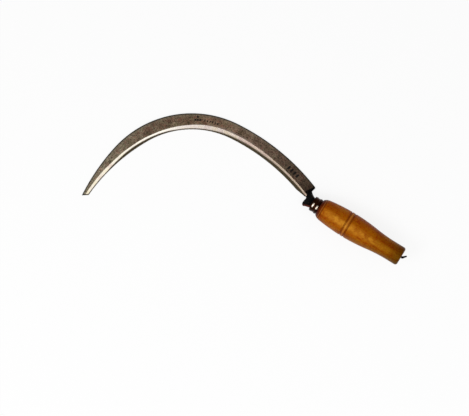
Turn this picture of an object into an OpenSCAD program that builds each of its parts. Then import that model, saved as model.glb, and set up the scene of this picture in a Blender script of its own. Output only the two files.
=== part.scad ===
// Serrated sickle, lying on the flat side of its blade with the ground bevel up.
// The toothed blade is welded to the foot of a cranked tang. The tang runs through a ferrule and a
// turned handle, and its end is bent over at the butt. All sizes are in millimetres.
//
// The pieces are drawn in a working frame: the origin is below the front of the ferrule, on the
// plane of the blade's flat side, +X runs forward to the blade, +Y to the inside of its curve and
// +Z up.
// placed() then moves them so that the origin lies under the middle of the finished sickle.

/* [Blade] */
// Width of the blade from its back to its edge, before the taper
blade_w = 21; // [18:0.1:24]
// Thickness of the blade
blade_t = 2.4; // [1.8:0.1:3.2]
// Thickness left at the ground edge
edge_t = 0.4; // [0.2:0.05:0.7]
// Width of the ground bevel along the edge
bevel_w = 6.4; // [4:0.1:9]
// Chamfer along the top of the back
back_chamfer = 0.6; // [0.2:0.1:1]
// Radius of the back along the heel stretch
heel_radius = 291; // [260:1:340]
// Angle that the heel stretch turns through
heel_turn = 25.8; // [21:0.1:30]
// Radius of the back around the crown
crown_radius = 135.5; // [115:0.5:155]
// Angle that the crown turns through
crown_turn = 74; // [64:0.1:82]
// Radius of the back along the tip stretch
tip_radius = 276; // [220:1:320]
// Angle that the tip stretch turns through
tip_turn = 15.8; // [13:0.1:20]

/* [Tip] */
// Angle before the end of the crown at which the taper begins
taper_turn = 17.7; // [14:0.1:23]
// Length of the blunt end at the tip
tip_w = 8.8; // [7.6:0.1:11]
// Angle between the blunt end of the tip and a square cut
tip_cut = 29; // [20:1:40]
// Thickness of the blade at its tip
tip_t = 1.8; // [1.4:0.1:2.4]
// Width of the ground bevel at the tip
tip_bevel = 5.4; // [4:0.1:6]

/* [Heel] */
// Distance from the front of the ferrule to the heel corner of the blade
heel_x = 7.4; // [6.5:0.1:13]
// Distance from the handle's axis to the heel corner of the blade
heel_y = 19.8; // [16:0.1:22]
// Direction in which the blade leaves the heel, measured from the handle's axis
heel_heading = 20.7; // [12:0.1:27]
// Angle between the heel end and a square cut
heel_cut = 7; // [0:1:10]
// How far the inner corner of the heel is ground back
heel_clip = 3.2; // [1:0.2:4.4]
// Length of edge over which it is ground back
heel_run = 14; // [8:1:20]

/* [Teeth] */
// Distance from one tooth to the next
tooth_pitch = 1.8; // [1.4:0.1:3]
// Depth of a tooth groove where it meets the edge
tooth_depth = 0.65; // [0.5:0.05:1]
// Length of a tooth groove, in from the edge
tooth_band = 5; // [3:0.5:8]
// Angle between a tooth groove and a line square to the edge
tooth_slant = 25; // [0:1:35]
// Flat land left between two grooves
tooth_land = 0.3; // [0.1:0.05:0.5]
// Share of a groove's width on its steep side, nearer the handle
tooth_steep = 0.3; // [0.2:0.05:0.5]
// Plain stretch of edge at the heel
heel_plain = 12; // [4:1:40]
// Plain stretch of edge at the tip
tip_plain = 9; // [4:1:40]

/* [Neck] */
// Distance from the heel corner of the blade to the outer end of the foot
foot_from = 0.5; // [0:0.1:3]
// Width of the neck where it meets the ferrule
neck_w = 13.6; // [10:0.2:15]
// Height of the neck where it meets the ferrule
neck_h = 10; // [9:0.2:13]
// Length of the foot along the heel end of the blade
foot_len = 13.8; // [9:0.2:16]
// Thickness of the foot above the blade
foot_t = 1.6; // [1:0.1:3]
// Thickness of the foot behind the heel end
foot_back = 1.2; // [0.8:0.1:2.4]
// How far the foot laps onto the blade at its outer end
lap_outer = 1.2; // [0.6:0.1:3]
// How far the foot laps onto the blade at its inner end
lap_inner = 4.9; // [2:0.1:7]
// How far the neck's shoulder runs on past the foot along the heel end
shoulder_len = 3; // [1:0.2:4]
// How far the spur stands out from the handle's axis
spur_reach = 9.4; // [7:0.1:12]
// Width of the spur at its end
spur_w = 3.8; // [1:0.1:4.6]
// Height of the spur at its end
spur_h = 4; // [2:0.1:6]

/* [Tang] */
// Thickness of the square tang at the ferrule
tang_root = 8; // [6:0.2:9]
// Thickness of the square tang at the butt
tang_end = 3; // [2.4:0.1:4.5]
// Length of the tail that is bent over at the butt
tail_len = 6.2; // [4:0.2:8]
// Thickness of the tail at its point
tail_point = 1.8; // [0.6:0.1:2.2]
// Angle that the tail is bent through
tail_bend = 48; // [20:1:75]

/* [Ferrule] */
// Length of the ferrule
ferrule_len = 10.8; // [10.6:0.2:16]
// Radius of the ferrule between its beads
ferrule_r = 9.8; // [9.4:0.1:10.4]
// Radius of the round section of a bead
bead_round = 2.2; // [1.6:0.1:2.5]
// Distance from each end of the ferrule to the middle of its bead
bead_from_end = 2.5; // [2.5:0.1:2.9]
// Radius of the front bead
front_bead_r = 10.3; // [10:0.1:11]
// Radius of the rear bead
rear_bead_r = 10.7; // [10:0.1:11.2]
// Thickness of the ferrule's front wall
ferrule_wall = 1.2; // [0.8:0.1:2]
// Radius of the spigot that the ferrule is pressed over
spigot_r = 8.9; // [7.5:0.1:9]

/* [Handle] */
// Length of the handle behind the ferrule
handle_len = 123; // [105:1:140]
// Angle between the handle and the plane of the blade
handle_tilt = 6; // [0:0.5:12]
// Gap between the underside of the handle and the ground
ground_gap = 0.6; // [0.2:0.1:10]
// Radius of the nose, where the wood meets the ferrule
nose_r = 11; // [10.8:0.1:13]
// Length over which the nose rounds into the belly
nose_len = 6.5; // [3:0.5:9]
// Radius of the belly
belly_r = 17.2; // [15:0.1:19]
// Distance from the ferrule to the middle of the belly
belly_at = 43.5; // [36:0.5:50]
// Lengthwise radius of the belly's curve
belly_curve = 250; // [220:5:400]
// Radius of the waist
waist_r = 12.7; // [11.5:0.1:14]
// Lengthwise radius of the curve into the waist
waist_curve = 210; // [120:5:320]
// Rounding of the butt's rim
butt_round = 3; // [1:0.2:4]
// Distance from the ferrule to the two turned grooves' middle
grooves_at = 42.5; // [30:0.5:60]
// Distance between the two turned grooves
grooves_apart = 5.2; // [4:0.2:8]
// Radius of the turned grooves' round section
groove_round = 0.9; // [0.5:0.1:1.4]
// Distance from the ferrule to the fine line at the front
line_at = 5.6; // [3:0.2:8]
// Radius of the fine line's round section
line_round = 0.5; // [0.3:0.1:0.8]

/* [Fits] */
// Gap between the tang and its socket, on each side
tang_gap = 0.1; // [0.05:0.05:0.3]

/* [Hidden] */
// Facets of a full circle
round_fn = 96;
// Steps along the heel, crown and taper of the blade
heel_steps = 10;
crown_steps = 18;
taper_steps = 18;
// Spacing of the points along the handle's profile
profile_step = 2;
// Small overrun that lets a cutter pass cleanly through a face
over = 1;

// The back and the edge of the blade are chains of arcs that all turn left, from heel to tip.
// A heading is the direction of travel, and an arc's centre lies square to the left of it.
function leftward(heading) = [-sin(heading), cos(heading)];
function turn_of(length, radius) = length / radius * 180 / PI;
function length_of(arc) = arc[0] * arc[1] * PI / 180;

// Place on a chain of [radius, turn] arcs at a distance from its start: [point, heading]
function walk(point, heading, arcs, d, i = 0) =
    let (
        arc_len = length_of(arcs[i]),
        here = d <= arc_len || i == len(arcs) - 1,
        new_heading = heading + (here ? turn_of(d, arcs[i][0]) : arcs[i][1]),
        new_point = point + arcs[i][0] * (leftward(heading) - leftward(new_heading))
    )
    here ? [new_point, new_heading] : walk(new_point, new_heading, arcs, d - arc_len, i + 1);

heel_corner = [heel_x, -heel_y];
back_arcs = [[heel_radius, heel_turn], [crown_radius, crown_turn], [tip_radius, tip_turn]];
function back_at(d) = walk(heel_corner, -heel_heading, back_arcs, d);

// The heel end slants, so the edge starts further back than the heel corner does.
heel_edge_r = heel_radius - blade_w;
heel_lead = turn_of(blade_w * tan(heel_cut), heel_edge_r);
edge_heading = -heel_heading - heel_lead;
edge_start = heel_corner + heel_radius * leftward(-heel_heading)
    - heel_edge_r * leftward(edge_heading);
even_turn = crown_turn - taper_turn;
even_arcs = [[heel_edge_r, heel_turn + heel_lead], [crown_radius - blade_w, even_turn]];
even_len = length_of(even_arcs[0]) + length_of(even_arcs[1]);
even_end = walk(edge_start, edge_heading, even_arcs, even_len);

// The edge leaves the even stretch along an arc that ends on the far corner of the blunt tip.
back_len = length_of(back_arcs[0]) + length_of(back_arcs[1]) + length_of(back_arcs[2]);
tip_place = back_at(back_len);
tip_corner = tip_place[0] + tip_w * leftward(tip_place[1] + tip_cut);
taper_aside = (tip_corner - even_end[0]) * leftward(even_end[1]);
taper_chord = norm(tip_corner - even_end[0]);
taper_radius = taper_chord * taper_chord / 2 / taper_aside;
edge_arcs = concat(even_arcs, [[taper_radius, 2 * asin(taper_aside / taper_chord)]]);
function edge_at(d) = walk(edge_start, edge_heading, edge_arcs, d);

// Distances along the back and the edge, and share of the taper, where the stretches meet
even_back = length_of([crown_radius, even_turn]);
heel_mark = [length_of(back_arcs[0]), length_of(edge_arcs[0]), 0];
taper_mark = [heel_mark[0] + even_back, even_len, 0];
tip_mark = [back_len, even_len + length_of(edge_arcs[2]), 1];
function between(a, b, steps) = [for (i = [0 : steps - 1]) a + (b - a) * i / steps];
stations = concat(
    between([0, 0, 0], heel_mark, heel_steps),
    between(heel_mark, taper_mark, crown_steps),
    between(taper_mark, tip_mark, taper_steps),
    [tip_mark]
);

// Section of the blade at a station: flat below, chamfered back, ground bevel down to the edge
function section(station) =
    let (
        back = back_at(station[0])[0],
        edge = edge_at(station[1])[0],
        width = norm(edge - back),
        across = (edge - back) / width,
        t = blade_t + (tip_t - blade_t) * station[2],
        bevel = bevel_w + (tip_bevel - bevel_w) * station[2]
    )
    [for (p = [
        [0, 0], [width, 0], [width, edge_t],
        [width - bevel, t], [back_chamfer, t], [0, t - back_chamfer],
    ]) [each back + p[0] * across, p[1]]];

// The heel end runs inward from the heel corner, and the blade lies on its outward side.
heel_dir = (edge_start - heel_corner) / norm(edge_start - heel_corner);
heel_out = [heel_dir[1], -heel_dir[0]];
function heel_point(inward, outward) = heel_corner + inward * heel_dir + outward * heel_out;
foot_top = blade_t + foot_t;

// Radius of the wood at a distance behind the ferrule: nose, belly, waist and rounded rim
waist_slope = sqrt(2 * (belly_r - waist_r) / (belly_curve + waist_curve));
belly_end = belly_at + belly_curve * waist_slope;
waist_from = belly_end + waist_curve * waist_slope;
function body_r(u) =
    u < belly_end ? belly_r - pow(u - belly_at, 2) / (2 * belly_curve)
    : u < waist_from ? waist_r + pow(waist_from - u, 2) / (2 * waist_curve)
    : waist_r;
function nose_drop(u) = u < nose_len ? (body_r(0) - nose_r) * pow(1 - u / nose_len, 2) : 0;
function wood_r(u) = body_r(u) - nose_drop(u);
rim_from = handle_len - butt_round;

// The crank lifts the handle's axis until the wood clears the ground by its gap.
axis_z = ground_gap + max([for (u = [0 : profile_step : handle_len])
    wood_r(u) * cos(handle_tilt) - (ferrule_len + u) * sin(handle_tilt)]);
butt_s = ferrule_len + handle_len;

// How far back a point reaches that lies s behind the ferrule's front and below the axis
function reach_back(s, below) = s * cos(handle_tilt) + below * sin(handle_tilt);

// The tail's knee lies half a thickness behind the butt. Furthest back reaches the tail's point,
// its mitred knee or the butt, whichever the bend makes it.
knee_s = butt_s + tang_end / 2;
x_min = -max(
    reach_back(knee_s + tail_len * cos(tail_bend) + tail_point / 2 * sin(tail_bend), tail_point / 2),
    reach_back(knee_s + tang_end / 2 * tan(tail_bend / 2), tang_end / 2),
    reach_back(butt_s, waist_r - butt_round)
);
back_line = [for (station = stations) back_at(station[0])[0]];
x_max = max([for (p = back_line) p[0]]);
y_max = max([for (p = back_line) p[1]]);
y_min = min([for (p = back_line) p[1]]);
middle = [(x_min + x_max) / 2, (y_min + y_max) / 2, 0];

module placed() translate(-middle) children();

// Moves to the handle's own frame: the ferrule's front at the origin, the butt towards -X
module on_handle() translate([0, 0, axis_z]) rotate([0, handle_tilt, 0]) children();

// Solid that runs through sections of equally many points, drawn clockwise along the way
module swept(sections) {
    n = len(sections[0]);
    last = len(sections) - 1;
    polyhedron(
        points = [for (s = sections) each s],
        faces = concat(
            [[for (j = [0 : n - 1]) j], [for (j = [n - 1 : -1 : 0]) last * n + j]],
            [for (i = [0 : last - 1], j = [0 : n - 1])
                let (a = i * n + j, b = i * n + (j + 1) % n)
                each [[a, a + n, b + n], [a, b + n, b]]]
        )
    );
}

// The forged and ground blade before its teeth are cut, with the heel's inner corner ground back
module blade_blank()
    difference() {
        swept([for (station = stations) section(station)]);
        translate([edge_start[0], edge_start[1], -over])
            rotate([0, 0, edge_heading])
                linear_extrude(blade_t + 2 * over)
                    polygon([
                        [-heel_run, -2 * heel_clip], [2 * heel_run, heel_clip],
                        [-heel_run, heel_clip],
                    ]);
    }

// One tooth groove, at the edge with the blade towards -Y; it runs out of the flat side inward
module tooth_groove() {
    width = tooth_pitch * cos(tooth_slant) - tooth_land;
    fall = atan(tooth_depth / tooth_band);
    flare = 1.5;
    rotate([0, 0, tooth_slant])
        translate([0, -tooth_band, 0])
            rotate([fall - 90, 0, 0])
                linear_extrude(tooth_band + 2 * over)
                    polygon([
                        [0, 0], [-width * tooth_steep * flare, tooth_depth * flare],
                        [width * (1 - tooth_steep) * flare, tooth_depth * flare],
                    ]);
}

module blade()
    color("#6e5f50")
        difference() {
            blade_blank();
            for (d = [heel_plain : tooth_pitch : tip_mark[1] - tip_plain]) {
                place = edge_at(d);
                translate(place[0]) rotate([0, 0, place[1]]) tooth_groove();
            }
        }

// Rises smoothly from 0 to 1 as t goes from 0 to 1
function eased(t) = t < 0 ? 0 : t > 1 ? 1 : t * t * (3 - 2 * t);

// The neck seen from above: foot along the heel end, waist towards the ferrule, spur inside
foot_inner = heel_point(foot_len, 0);
module neck_plan() {
    waist_back = 1.8;
    waist_flare = 3.6;
    pinch = 0.6;
    spur_blunt = 2.3;
    front = foot_inner[0];
    polygon([
        [-over, -neck_w / 2],
        [heel_x - waist_back, -neck_w / 2 - waist_flare],
        heel_point(foot_len / 2, -foot_back),
        heel_point(foot_from, -foot_back),
        heel_point(foot_from, lap_outer),
        heel_point(foot_len, lap_inner),
        foot_inner,
        heel_point(foot_len + shoulder_len, 0),
        [front - pinch, foot_inner[1] / 5],
        [front + pinch, spur_reach / 3],
        [front + pinch, spur_reach - spur_w],
        [front + pinch - (spur_blunt + pinch) * 0.3, spur_reach - spur_w * 0.3],
        [front - spur_blunt, spur_reach],
        [front / 2, (neck_w / 2 + spur_reach) / 2],
        [-over, neck_w / 2],
    ]);
}

// The neck seen from the side: flat under the foot, cranked up to the handle's axis
crank_steps = 12;
foot_end = heel_point(foot_len, lap_inner)[0];
module neck_side()
    polygon(concat(
        [for (i = [0 : crank_steps]) let (t = i / crank_steps)
            [foot_end * (1 - t) + over, foot_top + (axis_z + neck_h / 2 - foot_top) * eased(t)]],
        [[-2 * over, axis_z + neck_h / 2], [-2 * over, axis_z - neck_h / 2]],
        [for (i = [0 : crank_steps]) let (t = i / crank_steps)
            [(heel_x - foot_back) * t, (axis_z - neck_h / 2) * (1 - eased(t))]],
        [[foot_end + over, 0]]
    ));

// The neck seen from the front: low over the foot, high in the middle, small at the spur
module neck_across() {
    spur_z = (foot_top + axis_z - neck_h / 2) / 2;
    top = axis_z + neck_h / 2 + over;
    shoulder = 5;
    polygon([
        [-heel_y - over, 0], [-heel_y - over, foot_top],
        [-neck_w / 2 - shoulder, foot_top], [-neck_w / 2, top], [neck_w / 2, top],
        [spur_reach, spur_z + spur_h / 2], [spur_reach, spur_z - spur_h / 2],
        [neck_w / 4, 0],
    ]);
}

// Space of the blade's heel under the foot
module heel_seat()
    translate(heel_corner)
        rotate([0, 0, atan2(heel_out[1], heel_out[0])])
            translate([0, -blade_w, -over]) cube([2 * blade_w, 3 * blade_w, blade_t + over]);

// The crank is what all three outlines share, cut square where it meets the ferrule.
module neck()
    difference() {
        intersection() {
            linear_extrude(axis_z + neck_h) neck_plan();
            translate([0, 2 * heel_y, 0])
                rotate([90, 0, 0]) linear_extrude(4 * heel_y) neck_side();
            translate([-over * 2, 0, 0])
                rotate([90, 0, 90]) linear_extrude(foot_end + 4 * over) neck_across();
        }
        heel_seat();
        on_handle()
            translate([-neck_w, -neck_w, -neck_w]) cube([neck_w, 2 * neck_w, 2 * neck_w]);
    }

// Square bar from inside the neck back to a distance, larger by gap on every side
module tang_bar(gap, back)
    intersection_for (turn = [0, 90])
        rotate([turn, 0, 0])
            translate([0, 0, -tang_root])
                linear_extrude(2 * tang_root) {
                    slope = (tang_end - tang_root) / 2 / butt_s;
                    front_half = tang_root / 2 + gap - over * slope;
                    back_half = tang_root / 2 + gap + back * slope;
                    polygon([
                        [over, -front_half], [over, front_half],
                        [-back, back_half], [-back, -back_half],
                    ]);
                }

// Tail of the tang, mitred where it bends over behind the butt, and drawn to a point
module tang_tail() {
    half = tang_end / 2;
    knee = [-knee_s, 0];
    mitre = half * [tan(tail_bend / 2), -1];
    along = [-cos(tail_bend), -sin(tail_bend)];
    across = [sin(tail_bend), -cos(tail_bend)];
    point = knee + tail_len * along;
    intersection() {
        translate([0, 0, -half])
            linear_extrude(tang_end)
                polygon([
                    [-butt_s, -half], knee + mitre, point + tail_point / 2 * across,
                    point - tail_point / 2 * across, knee - mitre, [-butt_s, half],
                ]);
        translate([-knee_s, 0, 0])
            rotate([90, 0, tail_bend - 180])
                translate([0, 0, -tail_len])
                    linear_extrude(2 * tail_len)
                        polygon([
                            [-tail_len, -half], [0, -half], [tail_len, -tail_point / 2],
                            [tail_len, tail_point / 2], [0, half], [-tail_len, half],
                        ]);
    }
}

module tang()
    color("#1c1819") {
        neck();
        on_handle() {
            tang_bar(0, butt_s);
            tang_tail();
        }
    }

// Turns a profile drawn as [radius, distance behind the ferrule's front] about the handle's axis
module turned() rotate([0, -90, 0]) rotate_extrude($fn = round_fn) children();

module ferrule()
    color("#c9bfae")
        on_handle()
            difference() {
                turned()
                    difference() {
                        union() {
                            square([ferrule_r, ferrule_len]);
                            translate([front_bead_r - bead_round, bead_from_end])
                                circle(bead_round, $fn = round_fn);
                            translate([rear_bead_r - bead_round, ferrule_len - bead_from_end])
                                circle(bead_round, $fn = round_fn);
                        }
                        translate([0, ferrule_wall]) square([spigot_r, ferrule_len]);
                    }
                tang_bar(tang_gap, butt_s + over);
            }

// Half profile of the wood: spigot, nose, belly, waist and rounded butt
module wood_profile() {
    rim_steps = 6;
    translate([0, ferrule_len])
        difference() {
            polygon(concat(
                [[0, ferrule_wall - ferrule_len], [spigot_r, ferrule_wall - ferrule_len],
                    [spigot_r, 0], [nose_r, 0]],
                [for (u = [profile_step / 2 : profile_step / 2 : nose_len]) [wood_r(u), u]],
                [for (u = [nose_len + profile_step : profile_step : rim_from - over])
                    [wood_r(u), u]],
                [for (i = [0 : rim_steps]) let (a = 90 * i / rim_steps)
                    [wood_r(rim_from) - butt_round * (1 - cos(a)), rim_from + butt_round * sin(a)]],
                [[0, handle_len]]
            ));
            for (side = [-1, 1]) turned_groove(grooves_at + side * grooves_apart / 2, groove_round);
            turned_groove(line_at, line_round);
        }
}

// Round-bottomed groove whose centre lies just outside the wood
module turned_groove(u, radius)
    translate([wood_r(u) + radius / 4, u]) circle(radius, $fn = round_fn);

module handle()
    color("#b4781f")
        on_handle()
            difference() {
                turned() wood_profile();
                tang_bar(tang_gap, butt_s + over);
            }

placed() blade();
placed() tang();
placed() ferrule();
placed() handle();
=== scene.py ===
import math

import bmesh
import bpy
import numpy as np
from mathutils import Matrix, Vector, noise


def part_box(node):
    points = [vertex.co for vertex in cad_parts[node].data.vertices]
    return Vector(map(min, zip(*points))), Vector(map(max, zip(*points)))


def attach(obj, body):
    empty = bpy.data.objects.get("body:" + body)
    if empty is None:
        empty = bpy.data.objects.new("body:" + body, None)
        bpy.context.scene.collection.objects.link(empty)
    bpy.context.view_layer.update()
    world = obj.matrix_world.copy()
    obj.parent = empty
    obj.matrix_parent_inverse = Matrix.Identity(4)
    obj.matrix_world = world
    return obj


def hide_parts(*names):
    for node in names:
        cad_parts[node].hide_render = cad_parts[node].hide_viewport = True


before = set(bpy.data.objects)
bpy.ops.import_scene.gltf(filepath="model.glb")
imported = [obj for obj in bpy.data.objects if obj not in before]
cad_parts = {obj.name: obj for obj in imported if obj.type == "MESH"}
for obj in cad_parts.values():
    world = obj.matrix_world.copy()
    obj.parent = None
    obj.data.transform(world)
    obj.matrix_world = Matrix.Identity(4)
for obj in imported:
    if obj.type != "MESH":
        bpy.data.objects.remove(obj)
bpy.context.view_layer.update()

# Sizes, in millimetres
# The working frame has its origin below the front of the ferrule, +X towards the blade, +Y to the
# inside of its curve and +Z up.
MM = 0.001

BLADE_W, BLADE_T, TIP_T, EDGE_T = 21.0, 2.4, 1.8, 0.4
HEEL_CLIP, HEEL_RUN = 3.2, 14.0
# the back is rounded more above than below
TOP_ROUND, LOW_ROUND = 1.0, 0.5
HEEL_CORNER, HEEL_HEADING, HEEL_CUT = np.array([7.4, -19.8]), -20.7, 7.0
# radius and turn of the back's three arcs, from heel to tip
BACK_ARCS = [(291.0, 25.8), (135.5, 74.0), (276.0, 15.8)]
TAPER_TURN, TIP_W, TIP_CUT = 17.7, 8.8, 29.0
TOOTH_PITCH, TOOTH_DEPTH, TOOTH_BAND, TOOTH_SLANT = 1.8, 0.65, 5.0, 25.0
TOOTH_LAND, TOOTH_STEEP, HEEL_PLAIN, TIP_PLAIN = 0.3, 0.3, 12.0, 9.0
# the bevel is ground by hand, so its upper line wanders: widths at distances along the edge
BEVEL_AT = [0, 40, 80, 112, 135, 162, 180, 205, 225, 246, 268, 292, 320, 342]
BEVEL_W = [6.1, 6.6, 7.1, 7.4, 7.0, 6.7, 5.6, 5.0, 4.9, 5.8, 6.0, 5.5, 5.1, 4.5]
# the dark strip along the teeth, and how softly it ends, at distances along the back
STRIP_AT = [0, 60, 80, 100, 125, 145, 165, 185, 215, 245, 285, 300, 315, 340]
STRIP_W = [4.3, 4.0, 3.7, 4.1, 3.4, 2.6, 1.8, 1.5, 1.5, 2.4, 3.7, 3.4, 2.6, 1.4]
SOFT_AT, SOFT_W = [0, 50, 80, 110, 150, 180], [0.9, 1.3, 2.3, 3.0, 2.2, 0.9]

FERRULE_LEN, FERRULE_R, FERRULE_WALL, SPIGOT_R = 10.8, 9.8, 1.2, 8.9
BEAD_FROM_END, BEAD_ROUND, FRONT_BEAD_R, REAR_BEAD_R = 2.5, 2.2, 10.3, 10.7
HANDLE_LEN, HANDLE_TILT, GROUND_GAP = 123.0, math.radians(6), 0.6
NOSE_R, NOSE_LEN, BELLY_R, BELLY_AT, BELLY_CURVE = 11.0, 6.5, 17.2, 43.5, 250.0
WAIST_R, WAIST_CURVE, BUTT_ROUND = 12.7, 210.0, 3.0
BUTT_S = FERRULE_LEN + HANDLE_LEN
# turned lines, a pair and a fine one: distance behind the ferrule and radius of the round section
PAIR_AT, PAIR_APART, FINE_AT = 42.5, 5.2, 5.6
GROOVES = [(PAIR_AT - PAIR_APART / 2, 0.9), (PAIR_AT + PAIR_APART / 2, 0.9), (FINE_AT, 0.5)]
TANG_ROOT, TANG_END, TANG_GAP = 8.0, 3.0, 0.1
TAIL_LEN, TAIL_BEND, TAIL_POINT, TAIL_ROUND = 6.2, math.radians(48), 1.8, 1.6
NECK_W, NECK_H, FOOT_T, SPUR_REACH = 13.6, 10.0, 1.6, 9.4


def smooth(t):
    """Rises gently from 0 to 1 as t goes from 0 to 1."""
    t = np.clip(t, 0, 1)
    return t * t * (3 - 2 * t)


def eased(values, reach):
    """A run of values, each the mean of its neighbours up to reach away on both sides."""
    count = 2 * reach + 1
    return np.convolve(np.pad(values, reach, mode="edge"), np.ones(count) / count, mode="valid")


def body_radius(u):
    """Radius of the wood at a distance behind the ferrule: nose, belly, waist."""
    slope = math.sqrt(2 * (BELLY_R - WAIST_R) / (BELLY_CURVE + WAIST_CURVE))
    belly_end = BELLY_AT + BELLY_CURVE * slope
    waist_from = belly_end + WAIST_CURVE * slope
    belly = BELLY_R - (u - BELLY_AT) ** 2 / (2 * BELLY_CURVE)
    flare = WAIST_R + (waist_from - u) ** 2 / (2 * WAIST_CURVE)
    radius = np.where(u < belly_end, belly, np.where(u < waist_from, flare, WAIST_R))
    nose_drop = BELLY_R - BELLY_AT ** 2 / (2 * BELLY_CURVE) - NOSE_R
    return radius - nose_drop * np.clip(1 - u / NOSE_LEN, 0, 1) ** 2


# The crank lifts the handle's axis until the wood clears the ground by its gap.
WOOD_PLACES = np.arange(0, HANDLE_LEN + 0.1, 2)
AXIS_Z = GROUND_GAP + float(np.max(body_radius(WOOD_PLACES) * math.cos(HANDLE_TILT)
                                   - (FERRULE_LEN + WOOD_PLACES) * math.sin(HANDLE_TILT)))


def on_handle(points):
    """Handle's frame (x from the ferrule's front towards the blade) to the working frame."""
    p = np.asarray(points, float)
    c, s = math.cos(HANDLE_TILT), math.sin(HANDLE_TILT)
    return np.stack([p[..., 0] * c + p[..., 2] * s, p[..., 1],
                     AXIS_Z - p[..., 0] * s + p[..., 2] * c], axis=-1)


# Colours and nodes
def srgb(code):
    """Hex colour, as seen on a screen, to the linear values a shader takes."""
    parts = [int(code[i:i + 2], 16) / 255 for i in (1, 3, 5)]
    return [c / 12.92 if c <= 0.04045 else ((c + 0.055) / 1.055) ** 2.4 for c in parts] + [1.0]


def add(tree, kind, settings=None, links=None):
    """Adds a node: settings are its properties, its ramp's stops or values for its sockets, and
    links name the node or socket that feeds each of its own sockets."""
    node = tree.nodes.new("ShaderNode" + kind)
    for key, value in (settings or {}).items():
        if key == "stops":
            places = node.color_ramp.elements
            for i, (place, code) in enumerate(value):
                stop = places[i] if i < 2 else places.new(place)
                stop.position, stop.color = place, srgb(code)
        elif isinstance(key, str) and hasattr(node, key):
            setattr(node, key, value)
        else:
            node.inputs[key].default_value = srgb(value) if isinstance(value, str) else value
    for key, source in (links or {}).items():
        if isinstance(source, bpy.types.Node):
            source = next(o for o in source.outputs if o.enabled)
        tree.links.new(source, node.inputs[key])
    return node


# What a Mix node is set to when it multiplies one colour by another, or lays one over another.
TIMES = {"data_type": "RGBA", "blend_type": "MULTIPLY"}
OVER = {"data_type": "RGBA"}


def material(name, settings):
    """A material with its shader and the settings that are the same all over its surface."""
    made = bpy.data.materials.new(name)
    made.use_nodes = True
    shader = made.node_tree.nodes["Principled BSDF"]
    for key, value in settings.items():
        shader.inputs[key].default_value = value
    return made, made.node_tree, shader


def feed(tree, shader, **sources):
    """Links nodes to the shader's sockets: Base_Color=node, Roughness=node and so on."""
    for key, source in sources.items():
        out = next(o for o in source.outputs if o.enabled)
        tree.links.new(out, shader.inputs[key.replace("_", " ")])


# Meshes
def dress(name, nodes, points, faces, skins, values, sharp):
    """Makes a piece from points in metres, with its materials and the values its finish reads."""
    mesh = bpy.data.meshes.new(name)
    mesh.from_pydata([tuple(p) for p in points], [], faces)
    for title, data in values.items():
        kind = "FLOAT_VECTOR" if np.ndim(data) == 2 else "FLOAT"
        layer = mesh.attributes.new(title, kind, "POINT")
        layer.data.foreach_set("vector" if kind == "FLOAT_VECTOR" else "value",
                               np.asarray(data, np.float32).ravel())
    piece = bpy.data.objects.new(name, mesh)
    bpy.context.scene.collection.objects.link(piece)
    return settle(piece, nodes, skins, sharp)


def settle(piece, nodes, skins, sharp):
    """Shades a finished mesh and puts the piece in the place of its CAD nodes."""
    mesh = piece.data
    for skin in skins:
        mesh.materials.append(skin)
    mesh.polygons.foreach_set("use_smooth", [True] * len(mesh.polygons))
    mesh.set_sharp_from_angle(angle=math.radians(sharp))
    mesh.update()
    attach(piece, "root")
    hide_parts(*nodes)
    return piece


def loop_faces(rings, around, closed=False):
    """Quads between rings of equally many points; a closed run joins its last ring to its first."""
    faces = []
    for i in range(rings if closed else rings - 1):
        a, b = i * around, (i + 1) % rings * around
        faces += [(a + j, b + j, b + (j + 1) % around, a + (j + 1) % around) for j in range(around)]
    return faces


# The blade's outline
def leftward(heading):
    return np.array([-math.sin(heading), math.cos(heading)])


def walk(point, heading, arcs, distance):
    """Place and heading at a distance along a chain of arcs that turn left."""
    for i, (radius, turn) in enumerate(arcs):
        length = radius * math.radians(turn)
        if distance <= length or i == len(arcs) - 1:
            ahead = heading + distance / radius
            return point + radius * (leftward(heading) - leftward(ahead)), ahead
        ahead = heading + math.radians(turn)
        point, heading = point + radius * (leftward(heading) - leftward(ahead)), ahead
        distance -= length


def arc_len(arc):
    return arc[0] * math.radians(arc[1])


HEADING = math.radians(HEEL_HEADING)
HEEL_EDGE_R = BACK_ARCS[0][0] - BLADE_W
HEEL_LEAD = BLADE_W * math.tan(math.radians(HEEL_CUT)) / HEEL_EDGE_R
EDGE_HEADING = HEADING - HEEL_LEAD
EDGE_START = (HEEL_CORNER + BACK_ARCS[0][0] * leftward(HEADING)
              - HEEL_EDGE_R * leftward(EDGE_HEADING))
EVEN_ARCS = [(HEEL_EDGE_R, BACK_ARCS[0][1] + math.degrees(HEEL_LEAD)),
             (BACK_ARCS[1][0] - BLADE_W, BACK_ARCS[1][1] - TAPER_TURN)]
EVEN_LEN = sum(arc_len(a) for a in EVEN_ARCS)
EVEN_END, EVEN_HEADING = walk(EDGE_START, EDGE_HEADING, EVEN_ARCS, EVEN_LEN)
BACK_LEN = sum(arc_len(a) for a in BACK_ARCS)
TIP_BACK, TIP_HEADING = walk(HEEL_CORNER, HEADING, BACK_ARCS, BACK_LEN)
TIP_CORNER = TIP_BACK + TIP_W * leftward(TIP_HEADING + math.radians(TIP_CUT))
ASIDE = float((TIP_CORNER - EVEN_END) @ leftward(EVEN_HEADING))
CHORD = float(np.linalg.norm(TIP_CORNER - EVEN_END))
EDGE_ARCS = EVEN_ARCS + [(CHORD * CHORD / 2 / ASIDE, 2 * math.degrees(math.asin(ASIDE / CHORD)))]
EDGE_LEN = sum(arc_len(a) for a in EDGE_ARCS)
HEEL_MARK = (arc_len(BACK_ARCS[0]), arc_len(EDGE_ARCS[0]))
TAPER_MARK = (HEEL_MARK[0] + BACK_ARCS[1][0] * math.radians(BACK_ARCS[1][1] - TAPER_TURN), EVEN_LEN)

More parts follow.
